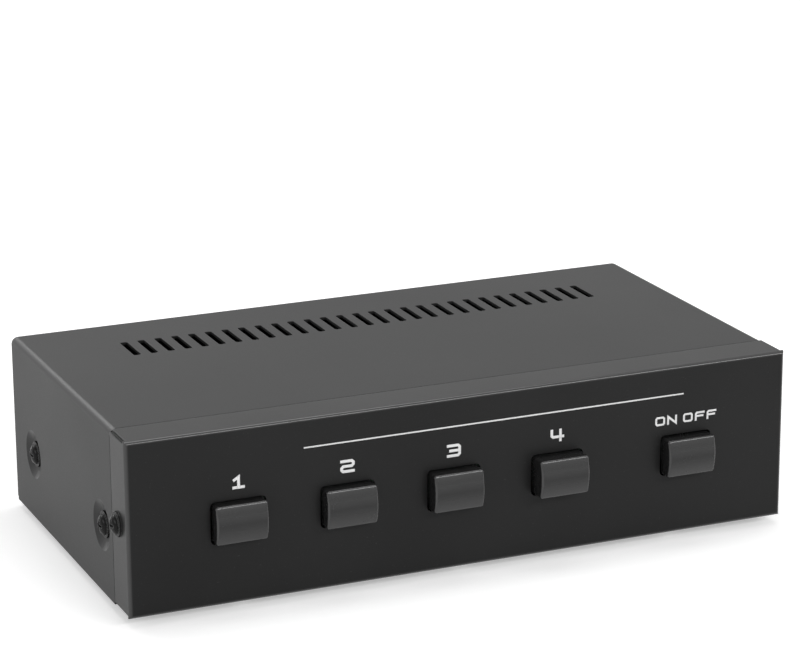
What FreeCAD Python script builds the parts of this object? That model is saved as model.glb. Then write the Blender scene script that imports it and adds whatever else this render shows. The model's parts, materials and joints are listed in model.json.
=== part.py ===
import FreeCAD, Part
import math
import os

from FreeCAD import Placement, Rotation, Vector

# Speaker selector switch: a low steel case with five push buttons on the front and three
# blocks of spring-clip wire terminals on the rear. Millimetres, +X right seen from the front,
# -Y towards the front, +Z up. The origin lies on the floor, under the middle of the whole object.

# Case
case_width = 228.0
case_depth = 121.3
case_height = 57.3
foot_height = 3.0
cover_sheet = 1.0
panel_sheet = 1.0
chassis_sheet = 1.2
cover_corner = 2.4
rear_bend = 1.6
panel_bend = 1.2
fold_gap = 0.15
past = 1.0
tiny = 1e-6

# Front panel pan
pan_flange = 14.0
pan_relief = 1.5
pan_relief_wide = 1.8
pan_seam = 0.3
pan_screw_from_front = 8.7
pan_screw_height = 28.5
base_screw_from_front = 7.0
base_screw_spread = 150.0
tongue_half = 12.0
ear_lift = 6.0

# Cover
rear_flange = 6.6
flange_corner = 1.7
mitre_slit = 0.2
mitre_start = 0.6
rear_recess = 2.0
rear_panel_lift = 1.4
fold_slit = 0.8
slot_count = 29
slot_pitch = 5.95
slot_length = 15.4
slot_width = 2.6
slot_corner = 0.9
slots_from_rear = 30.0
slots_shift = 1.8
cover_screw_height = 22.5
cover_screw_front = 25.5
cover_screw_rear = 22.5
dimple_radius = 8.2
dimple_floor_radius = 5.6
dimple_depth = 1.5
dimple_gap = 0.1
side_wall_height = 38.0

# Screws
head_radius = 4.5
head_rim = 0.7
head_height = 2.5
head_shoulder = (0.86, 0.45)
head_crown = 0.55
small_rim_share = 0.3
pan_head_share = 0.93
shank_radius = 1.5
shank_length = 7.0
screw_clearance = 0.25
recess_width = 0.8
recess_reach = 1.7
recess_depth = 1.2

# Feet
foot_radius = 6.5
foot_top_radius = 7.2
foot_inset_side = 9.2
foot_inset_end = 18.5
foot_well_radius = 3.8
foot_floor = 1.2
foot_edge = 0.5
small_head_radius = 2.8
small_head_height = 1.4

# Front buttons: the outer two are placed from the case's sides, and each stands out its own way
button_pitch = 36.3
first_button_inset = 36.1
last_button_inset = 36.4
button_height = 27.2
cap_width = 17.2
cap_height = 12.6
cap_outs = (4.4, 5.0, 5.4, 6.9, 5.5)
cap_long = 12.0
cap_wall = 1.3
cap_front = 2.6
cap_crown = 17.0
cap_crown_tail = 5.1
cap_edge = 0.8
cap_gap = 0.6
cap_corner = 0.9
cap_rim_zone = 1.6
button_travel = 3.0

# Push switches and their board
stem_size = 3.6
stem_grip = 4.4
stem_gap = 0.05
stem_long = 20.5
boss_size = 6.2
switch_width = 11.0
switch_tall = 9.6
switch_long = 24.0
switch_wall = 1.3
switch_setback = 1.5
switch_corner = 0.5
switch_groove = 0.8
switch_groove_depth = 0.4
switch_groove_inset = 3.0
stem_collar = 1.1
collar_long = 2.2
stem_play = 0.3
pin_columns = 6
pin_pitch = 3.2
pin_size = 0.6
pin_row = 6.4
pin_tail = 1.5
board_sheet = 1.6
board_side_gap = 16.0
board_long = 72.0
board_front_gap = 0.8
pillar_flats = 5.5
pillar_inset = 6.0
pillar_front_inset = 8.5
pillar_rear_inset = 4.0
board_screw_length = 6.0
foot_screw_length = 6.0
base_screw_length = 5.0

# Resistors of the protection circuit
resistor_count = 4
resistor_long = 22.0
resistor_wide = 9.5
resistor_tall = 9.0
resistor_pitch = 16.0
resistor_lift = 2.0
resistor_edge = 0.8
lead_radius = 0.4
lead_out = 4.0

# Terminal blocks: the outer two are placed from the case's sides, the middle one between them
input_block_inset = 31.2
far_block_inset = 52.2
near_block_share = 0.556
block_columns = (2, 4, 4)
block_names = ("input", "output_near", "output_far")
column_pitch = 13.9
row_pitch = 13.3
block_height_centre = 31.0
block_tall = 34.0
block_margin = 1.1
rim_thick = 2.4
rim_step = 1.3
rim_step_height = 0.9
rim_corner = 2.6
face_out = 9.5
face_half = 11.7
rib_out = 0.7
funnel_wide = 11.0
funnel_tall = 9.8
funnel_floor = 4.4
funnel_depth = 3.0
socket_radius = 2.2
socket_end = -3.0
bore_overlap = 0.005
tail_half = 14.2
tail_depth = 10.5
chamber_wall = 1.5
chamber_width = 8.0
chamber_low = 2.2
tail_gap = 0.2
hook_depth = 2.4
hook_reach = 1.2
hook_up = 6.0
hook_half = 2.5
rib_foot_out = 3.6
rib_foot_up = 16.4
rib_shoulder_out = 6.8
rib_shoulder_up = 15.9

# Levers: outlines and pivot are (out from the panel, up from the block's centre line)
lever_nose = 11.4
lever_bar = ((8.4, 12.2), (10.7, 12.4), (lever_nose, 14.6), (11.1, 16.0), (10.3, 16.8), (9.3, 16.9))
lever_plate = ((8.4, 12.2), (9.3, 16.9), (8.3, 18.4), (7.5, 18.6), (6.0, 16.9), (3.6, 15.7),
               (4.0, 13.2), (6.4, 12.2))
lever_plate_width = 11.1
lever_width = 11.5
lever_gap = 0.3
pivot_up = 14.4
pivot_out = 5.6
pivot_pin = 1.1
pivot_clearance = 0.05
pivot_engage = 0.7
pivot_end_wall = 0.45
lever_swing = 16.0
pocket_low = 11.9
pocket_floor = 0.4
pocket_high = 16.2
arm_width = 2.4
arm_gap = 0.4
arm_tip_up = 12.3
arm_tip_in = -5.0
arm_half = 0.8
arm_swing_down = 4.1
arm_swing_up = 1.3
arm_slot_floor = 1.0
arm_slot_drop = 1.6

# Contacts behind the sockets, and the board that their lugs pass through
contact_sheet = 0.5
contact_width = 4.0
lug_up = 3.0
lug_end = -17.0
leaf_back = -8.3
leaf_front = -6.0
leaf_up = 10.2
leaf_low = 4.6
terminal_board_gap = 1.5
terminal_board_tall = 32.0
ribbon_width = 26.0
ribbon_sheet = 0.9
ribbon_apart = 104.0
ribbon_bend = 3.0
ribbon_drop = 4.0
header_tall = 7.0
header_wide = 5.0
header_long = 30.0

# Places worked out from the sizes above
total_depth = max(cap_outs) + case_depth + lever_nose - rear_recess
front_y = -total_depth / 2 + max(cap_outs)
rear_y = front_y + case_depth
panel_y = rear_y - rear_recess
bottom_z = foot_height
top_z = bottom_z + case_height
half_width = case_width / 2
seam_y = front_y + pan_flange
wall_x = half_width - cover_sheet - fold_gap
button_z = bottom_z + button_height
block_z = bottom_z + block_height_centre
board_front_y = front_y + cap_long - min(cap_outs) + button_travel + board_front_gap
board_top_z = button_z - switch_tall / 2
board_width = case_width - 2 * board_side_gap
switch_face_y = board_front_y + switch_setback
button_xs = [first_button_inset - half_width + button_pitch * i for i in range(4)]
button_xs.append(half_width - last_button_inset)
input_block_x = half_width - input_block_inset
far_block_x = far_block_inset - half_width
block_centres = (input_block_x, far_block_x + (input_block_x - far_block_x) * near_block_share,
                 far_block_x)


def box(x0, x1, y0, y1, z0, z1):
    return Part.makeBox(x1 - x0, y1 - y0, z1 - z0, Vector(x0, y0, z0))


def centred_box(centre, size):
    low = centre - size * 0.5
    return Part.makeBox(size.x, size.y, size.z, low)


def rod(radius, length, start, direction):
    return Part.makeCylinder(radius, length, start, direction)


def turned(profile, start, direction):
    """Revolves (radius, height) points about an axis that leaves start along direction."""
    points = [Vector(r, 0, h) for r, h in profile]
    face = Part.Face(Part.makePolygon(points + points[:1]))
    solid = face.revolve(Vector(0, 0, 0), Vector(0, 0, 1), 360)
    solid.Placement = Placement(start, Rotation(Vector(0, 0, 1), direction))
    return solid


def flat_outline(points, x0, x1):
    """Extrudes (y, z) points from x0 to x1."""
    corners = [Vector(x0, y, z) for y, z in points]
    face = Part.Face(Part.makePolygon(corners + corners[:1]))
    return face.extrude(Vector(x1 - x0, 0, 0))


def edges_where(shape, test):
    return [edge for edge in shape.Edges if test(edge)]


def runs_along(edge, axis):
    if edge.Curve.TypeId != "Part::GeomLine":
        return False
    a, b = edge.Vertexes[0].Point, edge.Vertexes[-1].Point
    along = (b - a).normalize()
    return abs(abs(along.dot(axis)) - 1) < tiny


def rounded_box(x0, x1, y0, y1, z0, z1, axis, radius):
    shape = box(x0, x1, y0, y1, z0, z1)
    return shape.makeFillet(radius, edges_where(shape, lambda e: runs_along(e, axis)))


def joined(shapes):
    whole = shapes[0].fuse(shapes[1:]) if len(shapes) > 1 else shapes[0]
    return whole.removeSplitter()


def save(name, shapes):
    shape = shapes if isinstance(shapes, Part.Shape) else Part.makeCompound(shapes)
    for solid in shape.Solids:
        if not solid.isValid():
            print("not valid:", name)
    shape.exportStep(os.path.join("parts", name + ".step"))
    print(name, len(shape.Solids), "solids, %.1f mm3" % shape.Volume)


def pan_head_screw(start, direction, radius, height, length, shank):
    """A domed head that sits on start, its shank going back along the opposite direction."""
    rim = head_rim if radius > small_head_radius else height * small_rim_share
    dome = [(0, -length), (shank, -length), (shank, 0), (radius, 0), (radius, rim)]
    dome += [(radius * head_shoulder[0], rim + (height - rim) * head_shoulder[1]),
             (radius * head_crown, height), (0, height)]
    screw = turned(dome, Vector(0, 0, 0), Vector(0, 0, 1))
    reach = recess_reach * radius / head_radius
    half = recess_width * radius / head_radius / 2
    depth = min(recess_depth, height / 2)
    for cross in (box(-reach, reach, -half, half, height - depth, height + past),
                  box(-half, half, -reach, reach, height - depth, height + past)):
        screw = screw.cut(cross)
    screw.Placement = Placement(start, Rotation(Vector(0, 0, 1), direction))
    return screw


def side_screw_places():
    """The cover's four side screws, as (side, y, z)."""
    z = bottom_z + cover_screw_height
    return [(side, y, z) for side in (-1, 1)
            for y in (front_y + cover_screw_front, rear_y - cover_screw_rear)]


def pan_screw_places():
    z = bottom_z + pan_screw_height
    return [(side, front_y + pan_screw_from_front, z) for side in (-1, 1)]


def base_screw_places():
    y = front_y + base_screw_from_front
    return [(-base_screw_spread / 2, y), (0, y), (base_screw_spread / 2, y)]


def foot_places():
    return [(sx * (half_width - foot_inset_side), y) for sx in (-1, 1)
            for y in (front_y + foot_inset_end, rear_y - foot_inset_end)]


def pillar_places():
    x_out = board_width / 2 - pillar_inset
    middle = (button_xs[2] + button_xs[3]) / 2
    rear = board_front_y + board_long - pillar_rear_inset
    return [(x, y) for x in (-x_out, middle, x_out) for y in (board_front_y + pillar_front_inset, rear)]


def dimple_cone(side, y, z, inset, extra):
    """The pressed-in seat round a side screw; inset moves it inwards through the sheet."""
    start = Vector(side * (half_width - inset + extra), y, z)
    tall = dimple_depth + extra
    flare = (dimple_radius - dimple_floor_radius) / dimple_depth
    wide = dimple_radius + flare * extra
    cone = Part.makeCone(wide, dimple_floor_radius, tall)
    cone.Placement = Placement(start, Rotation(Vector(0, 0, 1), Vector(-side, 0, 0)))
    return cone


def vent_slots():
    y_rear = rear_y - slots_from_rear + slot_length / 2
    slots = []
    for i in range(slot_count):
        x = (i - (slot_count - 1) / 2) * slot_pitch + slots_shift
        slots.append(rounded_box(x - slot_width / 2, x + slot_width / 2, y_rear - slot_length, y_rear,
                                 top_z - 2 * cover_sheet, top_z + past, Vector(0, 0, 1), slot_corner))
    return slots


def folded_shell(x, y0, y1, z0, z1, sheet, across, back, back_at_rear):
    """A box of thin sheet: across rounds the edges along Y, back the ones of its end face."""
    outer = box(-x, x, y0, y1, z0, z1)
    end_y = y1 if back_at_rear else y0

    def on_end(edge):
        return all(abs(v.Point.y - end_y) < tiny for v in edge.Vertexes)

    def upper_long(edge):
        return runs_along(edge, Vector(0, 1, 0)) and edge.Vertexes[0].Point.z > z1 - tiny

    outer = outer.makeFillet(across, edges_where(outer, upper_long)) if across else outer
    outer = outer.makeFillet(back, edges_where(outer, on_end))
    inner_y0 = y0 - past if back_at_rear else y0 + sheet
    inner_y1 = y1 - sheet if back_at_rear else y1 + past
    inner = box(-x + sheet, x - sheet, inner_y0, inner_y1, z0 + sheet, z1 - sheet)
    end_y = inner_y1 if back_at_rear else inner_y0

    def upper_inner(edge):
        return runs_along(edge, Vector(0, 1, 0)) and edge.Vertexes[0].Point.z > z1 - sheet - tiny

    if across > sheet:
        inner = inner.makeFillet(across - sheet, edges_where(inner, upper_inner))
    inner = inner.makeFillet(max(back - sheet, fold_gap), edges_where(inner, on_end))
    return outer.cut(inner)


def make_cover():
    """Top and two sides of folded sheet, with narrow return flanges round the rear."""
    y0 = seam_y + pan_seam
    low = bottom_z - rear_flange
    shell = folded_shell(half_width, y0, rear_y, low, top_z, cover_sheet, cover_corner, rear_bend, True)
    window = box(-half_width + rear_flange, half_width - rear_flange, rear_y - 2 * rear_bend,
                 rear_y + past, low - past, top_z - rear_flange)
    shell = shell.cut([window, box(-half_width - past, half_width + past, y0 - past, rear_y + past,
                                   low - past, bottom_z)])
    slits = []
    for side in (-1, 1):
        slit = box(-mitre_slit / 2, mitre_slit / 2, rear_y - cover_sheet - mitre_start, rear_y + past,
                   -past, rear_flange * math.sqrt(2) - rear_bend)
        corner = Vector(side * (half_width - rear_flange), 0, top_z - rear_flange)
        slit.Placement = Placement(corner, Rotation(Vector(0, 1, 0), side * 45))
        slits.append(slit)
        x0, x1 = sorted((side * (half_width - flange_corner), side * (half_width + past)))
        corner_block = box(x0, x1, rear_y - 2 * cover_sheet, rear_y + past, bottom_z - past,
                           bottom_z + flange_corner)
        keep = rod(flange_corner, 4 * cover_sheet, Vector(
            side * (half_width - flange_corner), rear_y - 3 * cover_sheet, bottom_z + flange_corner),
            Vector(0, 1, 0))
        slits.append(corner_block.cut(keep))
    shell = shell.cut(slits + vent_slots())
    for side, y, z in side_screw_places():
        shell = shell.fuse(dimple_cone(side, y, z, cover_sheet, 0))
        shell = shell.cut(dimple_cone(side, y, z, 0, past))
        shell = shell.cut(rod(shank_radius + screw_clearance, 2 * shank_length,
                              Vector(side * (half_width - shank_length), y, z), Vector(side, 0, 0)))
    return shell.removeSplitter()


def cap_opening(x, grow):
    w = cap_width / 2 + grow
    h = cap_height / 2 + grow
    return rounded_box(x - w, x + w, front_y - past, front_y + panel_sheet + past,
                       button_z - h, button_z + h, Vector(0, 1, 0), cap_corner + grow)


def make_front_panel():
    """A shallow pan: the face, and four flanges turned back to the cover."""
    shell = folded_shell(half_width, front_y, seam_y, bottom_z, top_z, panel_sheet,
                         0, panel_bend, False)
    cuts = [cap_opening(x, cap_gap) for x in button_xs]
    for sx in (-1, 1):
        for z in (bottom_z, top_z):
            cx = sx * half_width
            half = pan_relief_wide / 2
            cuts.append(box(cx - half, cx + half, front_y + pan_relief, seam_y + past, z - half,
                            z + half))
    for side, y, z in pan_screw_places():
        cuts.append(rod(shank_radius + screw_clearance, panel_sheet + 2 * past,
                        Vector(side * (half_width - panel_sheet - past), y, z), Vector(side, 0, 0)))
    for x, y in base_screw_places():
        cuts.append(rod(shank_radius + screw_clearance, panel_sheet + 2 * past,
                        Vector(x, y, bottom_z - past), Vector(0, 0, 1)))
    return shell.cut(cuts).removeSplitter()


def block_span(columns):
    return columns * column_pitch


def make_chassis():
    """Floor, rear wall and low side walls in one folded sheet."""
    t = chassis_sheet
    floor_y = seam_y + pan_seam
    wall_front_y = front_y + panel_sheet + fold_gap
    floor = box(-wall_x, wall_x, floor_y, panel_y, bottom_z, bottom_z + t)
    rear = box(-wall_x, wall_x, panel_y - t, panel_y, bottom_z + rear_panel_lift - t,
               top_z - cover_sheet - fold_gap)
    upper = edges_where(rear, lambda e: runs_along(e, Vector(0, 1, 0))
                        and e.Vertexes[0].Point.z > top_z / 2)
    rear = rear.makeFillet(cover_corner - cover_sheet, upper)
    pieces = [floor, rear]
    for side in (-1, 1):
        x0, x1 = sorted((side * wall_x, side * (wall_x - t)))
        pieces.append(box(x0, x1, floor_y, panel_y, bottom_z, bottom_z + side_wall_height))
        ear_low = bottom_z + panel_sheet + ear_lift
        pieces.append(box(x0, x1, wall_front_y + pan_relief, floor_y, ear_low,
                          bottom_z + side_wall_height))
    tongue_z = bottom_z + panel_sheet
    for x, _ in base_screw_places():
        pieces.append(box(x - tongue_half, x + tongue_half, wall_front_y + pan_relief,
                          floor_y + t, tongue_z, tongue_z + t))
    whole = joined(pieces)
    cuts = [box(-wall_x - past, wall_x + past, panel_y - t - fold_slit, panel_y + past,
                bottom_z - past, bottom_z + rear_panel_lift)]
    for centre, columns in zip(block_centres, block_columns):
        half = block_span(columns) / 2 - block_margin + tail_gap
        cuts.append(box(centre - half, centre + half, panel_y - t - past, panel_y + past,
                        block_z - tail_half - tail_gap, block_z + tail_half + tail_gap))
    for side, y, z in side_screw_places():
        cuts.append(dimple_cone(side, y, z, cover_sheet + dimple_gap, past))
    for side, y, z in side_screw_places() + pan_screw_places():
        cuts.append(rod(shank_radius, shank_length, Vector(side * (half_width - shank_length), y, z),
                        Vector(side, 0, 0)))
    for x, y in base_screw_places() + foot_places():
        cuts.append(rod(shank_radius, foot_screw_length, Vector(x, y, bottom_z - past),
                        Vector(0, 0, 1)))
    for side, y, z in side_screw_places():
        seat = dimple_cone(side, y, z, cover_sheet + dimple_gap + t, 0)
        whole = whole.fuse(seat)
    return whole.cut(cuts).removeSplitter()


def make_feet():
    feet = []
    for x, y in foot_places():
        outline = [(shank_radius + screw_clearance, foot_height), (foot_top_radius, foot_height),
                   (foot_radius, foot_edge), (foot_radius - foot_edge, 0), (foot_well_radius, 0),
                   (foot_well_radius, foot_height - foot_floor),
                   (shank_radius + screw_clearance, foot_height - foot_floor)]
        feet.append(turned(outline, Vector(x, y, 0), Vector(0, 0, 1)))
    return feet


def make_foot_screws():
    z = foot_height - foot_floor
    return [pan_head_screw(Vector(x, y, z), Vector(0, 0, -1), small_head_radius,
                           small_head_height, foot_screw_length, shank_radius)
            for x, y in foot_places()]


def make_cover_screws():
    seat = half_width - dimple_depth
    return [pan_head_screw(Vector(side * seat, y, z), Vector(side, 0, 0), head_radius,
                           head_height, shank_length, shank_radius)
            for side, y, z in side_screw_places()]


def make_pan_screws():
    return [pan_head_screw(Vector(side * half_width, y, z), Vector(side, 0, 0),
                           head_radius * pan_head_share, head_height, shank_length, shank_radius)
            for side, y, z in pan_screw_places()]


def make_base_screws():
    return [pan_head_screw(Vector(x, y, bottom_z), Vector(0, 0, -1), small_head_radius,
                           small_head_height, base_screw_length, shank_radius)
            for x, y in base_screw_places()]


def make_cap(x, out):
    """A hollow cap with a crowned front, and a square boss that grips the switch's stem."""
    w, h = cap_width / 2, cap_height / 2
    face = front_y - out
    back = face + cap_long
    body = rounded_box(x - w, x + w, face, back, button_z - h, button_z + h,
                       Vector(0, 1, 0), cap_corner)
    crown = rod(cap_crown, cap_width + 2 * past, Vector(x - w - past, face + cap_crown, button_z),
                Vector(1, 0, 0))
    tail = box(x - w - past, x + w + past, face + cap_crown_tail, back, button_z - h - past,
               button_z + h + past)
    body = body.common(crown.fuse(tail))
    front_edges = edges_where(body, lambda e: all(v.Point.y < face + cap_rim_zone for v in e.Vertexes)
                              and (e.BoundBox.XLength > cap_width / 2
                                   or e.BoundBox.ZLength > cap_height / 2))
    body = body.makeFillet(cap_edge, front_edges)
    hollow = box(x - w + cap_wall, x + w - cap_wall, face + cap_front, back + past,
                 button_z - h + cap_wall, button_z + h - cap_wall)
    boss = centred_box(Vector(x, (face + cap_wall + back) / 2, button_z),
                       Vector(boss_size, back - face - cap_wall, boss_size))
    socket = box(x - stem_size / 2, x + stem_size / 2, back - stem_grip, back + past,
                 button_z - stem_size / 2, button_z + stem_size / 2)
    return body.cut(hollow).fuse(boss).cut(socket).removeSplitter()


def make_stem(x, out):
    """The switch's sliding stem, from the cap's socket into the housing."""
    half = stem_size / 2
    start = front_y - out + cap_long - stem_grip
    stem = box(x - half, x + half, start, start + stem_long, button_z - half, button_z + half)
    collar_y = switch_face_y + switch_wall + stem_play + max(cap_outs) - out
    wide = half + stem_collar
    collar = box(x - wide, x + wide, collar_y, collar_y + collar_long, button_z - wide,
                 button_z + wide)
    return joined([stem, collar])


def make_switch(x):
    """The switch's housing, open inside for the stem's travel."""
    w, h = switch_width / 2, switch_tall / 2
    rear = switch_face_y + switch_long
    body = box(x - w, x + w, switch_face_y, rear, button_z - h, button_z + h)
    body = body.makeFillet(switch_corner, edges_where(body, lambda e: runs_along(e, Vector(0, 1, 0))))
    room = stem_size / 2 + stem_collar + stem_play
    hollow = box(x - room, x + room, switch_face_y + switch_wall, rear - switch_wall,
                 button_z - room, button_z + room)
    guide = stem_size / 2 + stem_gap
    mouth = box(x - guide, x + guide, switch_face_y - past, switch_face_y + switch_wall + past,
                button_z - guide, button_z + guide)
    grooves = [box(x - w - past, x + w + past, y, y + switch_groove,
                   button_z + h - switch_groove_depth, button_z + h + past)
               for y in (switch_face_y + switch_groove_inset, rear - switch_groove_inset - switch_groove)]
    return body.cut([hollow, mouth] + grooves)


def make_switch_pins():
    pins = []
    for x in button_xs:
        for i in range(pin_columns):
            y = switch_face_y + switch_long / 2 + (i - (pin_columns - 1) / 2) * pin_pitch
            for row in (-1, 1):
                cx = x + row * pin_row / 2
                pins.append(box(cx - pin_size / 2, cx + pin_size / 2, y - pin_size / 2,
                                y + pin_size / 2, board_top_z - board_sheet - pin_tail,
                                board_top_z))
    return pins


def make_switch_board():
    half = board_width / 2
    board = box(-half, half, board_front_y, board_front_y + board_long,
                board_top_z - board_sheet, board_top_z)
    holes = [rod(shank_radius + screw_clearance, board_sheet + 2 * past,
                 Vector(x, y, board_top_z - board_sheet - past), Vector(0, 0, 1))
             for x, y in pillar_places()]
    return board.cut(holes + make_switch_pins())


def make_pillars():
    pillars = []
    z0 = bottom_z + chassis_sheet
    z1 = board_top_z - board_sheet
    for x, y in pillar_places():
        radius = pillar_flats / math.sqrt(3)
        angles = [math.pi / 3 * i for i in range(6)]
        corners = [Vector(x + radius * math.cos(a), y + radius * math.sin(a), z0) for a in angles]
        pillar = Part.Face(Part.makePolygon(corners + corners[:1])).extrude(Vector(0, 0, z1 - z0))
        pillars.append(pillar.cut(rod(shank_radius, board_screw_length, Vector(
            x, y, z1 - board_screw_length + board_sheet), Vector(0, 0, 1))))
    return pillars


def make_board_screws():
    return [pan_head_screw(Vector(x, y, board_top_z), Vector(0, 0, 1), small_head_radius,
                           small_head_height, board_screw_length, shank_radius)
            for x, y in pillar_places()]


def resistor_places():
    y = board_front_y + board_long - resistor_wide
    start = -(resistor_count - 1) / 2 * (resistor_long + resistor_pitch)
    return [(start + i * (resistor_long + resistor_pitch), y) for i in range(resistor_count)]


def make_resistors():
    """Ceramic power resistors lying over the board, each with two bent leads."""
    resistors = []
    for x, y in resistor_places():
        z0 = board_top_z + resistor_lift
        body = box(x - resistor_long / 2, x + resistor_long / 2, y - resistor_wide / 2,
                   y + resistor_wide / 2, z0, z0 + resistor_tall)
        long_edges = edges_where(body, lambda e: runs_along(e, Vector(1, 0, 0)))
        body = body.makeChamfer(resistor_edge, long_edges)
        axis_z = z0 + resistor_tall / 2
        reach = resistor_long / 2 + lead_out
        leads = [rod(lead_radius, 2 * reach, Vector(x - reach, y, axis_z), Vector(1, 0, 0))]
        for sx in (-1, 1):
            leads.append(rod(lead_radius, axis_z - board_top_z, Vector(
                x + sx * (reach - lead_radius), y, board_top_z), Vector(0, 0, 1)))
        resistors.append(joined([body] + leads))
    return resistors


def in_block(shape, centre, row):
    """Places a shape drawn as (x, out from the panel, up from the block's centre)."""
    if row < 0:
        shape = shape.mirror(Vector(0, 0, 0), Vector(0, 0, 1))
    shape.translate(Vector(centre, panel_y, block_z))
    return shape


def block_slab(half_x, half_z, y0, y1, corner):
    return rounded_box(-half_x, half_x, y0, y1, -half_z, half_z, Vector(0, 1, 0), corner)


def column_xs(columns):
    return [(i - (columns - 1) / 2) * column_pitch for i in range(columns)]


def funnel(x):
    """A four-sided funnel narrowing from the face to the round socket."""
    rings = []
    for wide, tall, y in ((funnel_wide, funnel_tall, face_out),
                          (funnel_floor, funnel_floor, face_out - funnel_depth)):
        cx, cz = x, row_pitch / 2
        corners = [Vector(cx + sx * wide / 2, y, cz + sz * tall / 2)
                   for sx, sz in ((-1, -1), (1, -1), (1, 1), (-1, 1))]
        rings.append(Part.makePolygon(corners + corners[:1]))
    cone = Part.makeLoft(rings, True, True)
    socket = rod(socket_radius, face_out - funnel_depth - socket_end + 2 * bore_overlap,
                 Vector(x, socket_end - bore_overlap, row_pitch / 2), Vector(0, 1, 0))
    return [cone, socket]


def arm_slot(x):
    """Room for a lever's arm as it swings from the pocket down to the contact."""
    half = arm_width / 2 + arm_gap
    back = arm_tip_in - arm_half
    points = [(back, arm_tip_up - arm_swing_down), (back, arm_tip_up + arm_swing_up),
              (pivot_out, pivot_up + arm_slot_floor), (pivot_out, pocket_low),
              (arm_slot_floor, pocket_low - arm_slot_drop)]
    return flat_outline(points, x - half, x + half)


def make_block(columns):
    """One moulded terminal block, drawn round its own centre."""
    span = block_span(columns)
    half = span / 2
    rim = block_slab(half + block_margin, block_tall / 2, 0, rim_thick - rim_step_height, rim_corner)
    step = block_slab(half + block_margin - rim_step, block_tall / 2 - rim_step, 0, rim_thick,
                      rim_corner - rim_step / 2)
    body = box(-half, half, 0, face_out, -face_half, face_half)
    tail = box(-half + block_margin, half - block_margin, -tail_depth, 0, -tail_half, tail_half)
    pieces = [rim, step, body, tail]
    rib_top = face_out + rib_out
    rib_upper = [(rib_top, face_half), (rib_shoulder_out, rib_shoulder_up),
                 (rib_foot_out, rib_foot_up), (0, rib_foot_up)]
    rib = rib_upper + [(y, -z) for y, z in rib_upper[::-1]]
    cheek = column_pitch - lever_width - 2 * lever_gap
    for i in range(columns + 1):
        x = -half + i * column_pitch
        x0 = max(x - cheek / 2, -half - block_margin + rim_step)
        x1 = min(x + cheek / 2, half + block_margin - rim_step)
        pieces.append(flat_outline(rib, x0, x1))
    for side in (-1, 1):
        x0, x1 = sorted((side * (half - block_margin), side * (half - block_margin + hook_reach)))
        hook_y = -chassis_sheet
        for z in (-hook_up, hook_up):
            pieces.append(box(x0, x1, hook_y - hook_depth, hook_y, z - hook_half, z + hook_half))
    block = joined(pieces)
    cuts = []
    pocket_half = lever_width / 2 + lever_gap
    for x in column_xs(columns):
        row_cuts = funnel(x)
        row_cuts.append(box(x - pocket_half, x + pocket_half, pocket_floor, lever_nose,
                            pocket_low, pocket_high))
        row_cuts.append(box(x - chamber_width / 2, x + chamber_width / 2,
                            chamber_wall - tail_depth, socket_end, chamber_low,
                            tail_half - chamber_wall))
        row_cuts.append(arm_slot(x))
        row_cuts.append(box(x - contact_width / 2, x + contact_width / 2, -tail_depth - past,
                            -tail_depth + chamber_wall + past / 2, lug_up - contact_sheet / 2,
                            lug_up + contact_sheet / 2))
        for shape in row_cuts:
            cuts.append(shape)
            cuts.append(shape.mirror(Vector(0, 0, 0), Vector(0, 0, 1)))
    for row in (-1, 1):
        cuts.append(rod(pivot_pin + pivot_clearance, span - 2 * pivot_end_wall,
                        Vector(-half + pivot_end_wall, pivot_out, row * pivot_up), Vector(1, 0, 0)))
    return block.cut(cuts).removeSplitter()


def make_lever():
    """A lever of the upper row: a sloped plate, the bar that a finger pushes, its pins and arm."""
    half = lever_width / 2
    bar = flat_outline(lever_bar, -half, half)
    plate = flat_outline(lever_plate, -lever_plate_width / 2, lever_plate_width / 2)
    pins = rod(pivot_pin, lever_width + 2 * pivot_engage,
               Vector(-half - pivot_engage, pivot_out, pivot_up), Vector(1, 0, 0))
    arm = flat_outline([(arm_tip_in, arm_tip_up - arm_half), (arm_tip_in, arm_tip_up + arm_half),
                        (pivot_out, pivot_up + arm_half), (pivot_out, pivot_up - arm_half)],
                       -arm_width / 2, arm_width / 2)
    return joined([bar, plate, pins, arm])


def strip(points, sheet, x0, x1):
    """A thin strip whose middle follows (y, z) points, with mitred folds."""
    half = sheet / 2
    left, right = [], []
    count = len(points)
    for i, (y, z) in enumerate(points):
        before = points[max(i - 1, 0)]
        after = points[min(i + 1, count - 1)]
        normals = []
        for a, b in ((before, (y, z)), ((y, z), after)):
            length = math.hypot(b[0] - a[0], b[1] - a[1])
            if length > tiny:
                normals.append((-(b[1] - a[1]) / length, (b[0] - a[0]) / length))
        ny = sum(n[0] for n in normals) / len(normals)
        nz = sum(n[1] for n in normals) / len(normals)
        size = ny * ny + nz * nz
        left.append((y + ny / size * half, z + nz / size * half))
        right.append((y - ny / size * half, z - nz / size * half))
    return flat_outline(left + right[::-1], x0, x1)


def make_contacts(columns):
    route = [(lug_end, lug_up), (leaf_back, lug_up), (leaf_back, leaf_up), (leaf_front, leaf_up),
             (leaf_front, leaf_low)]
    contacts = []
    for x in column_xs(columns):
        upper = strip(route, contact_sheet, x - contact_width / 2, x + contact_width / 2)
        contacts.append(upper)
        contacts.append(upper.mirror(Vector(0, 0, 0), Vector(0, 0, 1)))
    return contacts


def make_terminal_board(contacts):
    y1 = panel_y - tail_depth - terminal_board_gap
    half = board_width / 2
    middle = (block_centres[0] + block_centres[-1]) / 2
    board = box(middle - half, middle + half, y1 - board_sheet, y1,
                block_z - terminal_board_tall / 2, block_z + terminal_board_tall / 2)
    return board.cut(contacts)


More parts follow.
